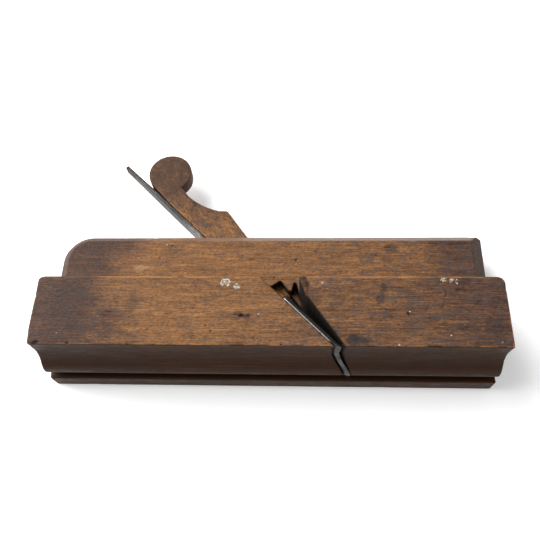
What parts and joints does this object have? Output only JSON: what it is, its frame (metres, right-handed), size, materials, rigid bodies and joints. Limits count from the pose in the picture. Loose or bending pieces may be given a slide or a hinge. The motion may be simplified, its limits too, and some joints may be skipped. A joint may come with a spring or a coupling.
{
  "type": "moulding plane",
  "caption": "Old wooden ogee moulding plane lying on its blind side: stepped stock with a chamfered grip, an iron with a tang, and a tapered wedge with a round finial.",
  "frame": {"origin": "middle of the blind face, the flat left side that the plane lies on", "axes": "+X from heel to toe, +Y from the sole to the top of the stock, +Z from the blind face to the escapement side"},
  "size_m": [0.254, 0.1501, 0.052],
  "materials": {
    "stock_wood": "old beech, darkened and handled, worn arrises",
    "wedge_wood": "old beech, flecked and hammered",
    "iron_steel": "forged tool steel with a grey-brown patina"
  },
  "bodies": {
    "stock": {"stock": "stock_wood"},
    "wedge": {"wedge": "wedge_wood"},
    "iron": {"iron": "iron_steel"}
  },
  "joints": [
    {"name": "wedge_slide", "type": "slide", "parent": "stock", "child": "wedge", "axis": [-0.7071, 0.7071, 0], "range_m": [0, 0.07]},
    {"name": "iron_slide", "type": "slide", "parent": "stock", "child": "iron", "axis": [-0.7071, 0.7071, 0], "range_m": [-0.15, 0.005]}
  ]
}
